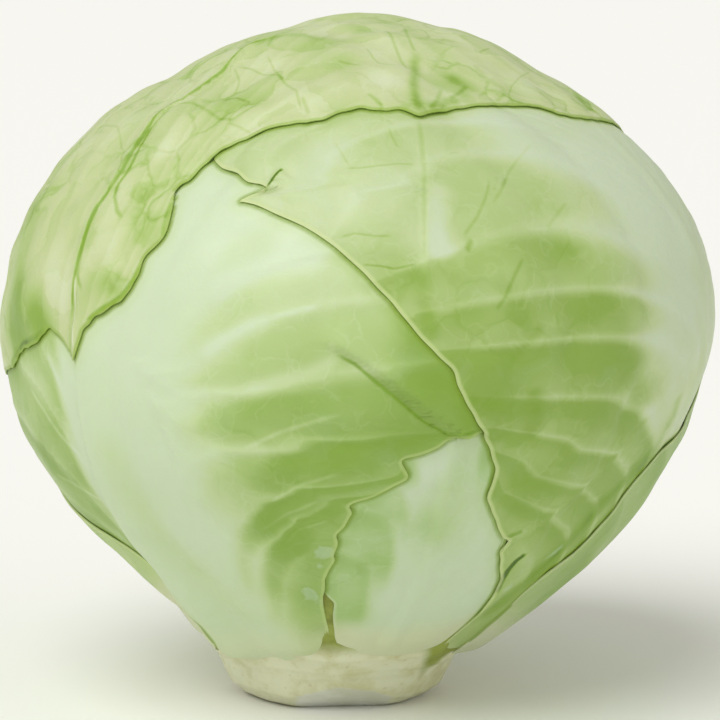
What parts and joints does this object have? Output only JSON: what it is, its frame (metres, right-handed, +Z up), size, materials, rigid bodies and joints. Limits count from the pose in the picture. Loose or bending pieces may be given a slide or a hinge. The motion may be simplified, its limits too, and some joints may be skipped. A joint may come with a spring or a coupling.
{
  "type": "green cabbage",
  "caption": "Head of green cabbage standing on its trimmed stump, with large ribbed outer leaves wrapped tightly round the heart.",
  "frame": {"origin": "centre of the flat cut end of the stump, which the head stands on", "axes": "+Z up through the stump into the head, -Y towards the side the picture shows, +X to the right in the picture"},
  "size_m": [0.18, 0.1812, 0.1698],
  "materials": {
    "heart": "satin, cream green",
    "inner_leaf": "waxy satin, pale green",
    "leaf": "waxy satin, light green",
    "outer_leaf": "waxy satin, green"
  },
  "bodies": {
    "root": {"stump_and_heart": "heart", "leaf_1_inner_front": "inner_leaf", "leaf_2_front_left": "leaf", "leaf_3_front_right": "leaf", "leaf_4_back_left": "outer_leaf", "leaf_5_right_back": "outer_leaf", "leaf_6_top_cap": "leaf"}
  },
  "joints": []
}
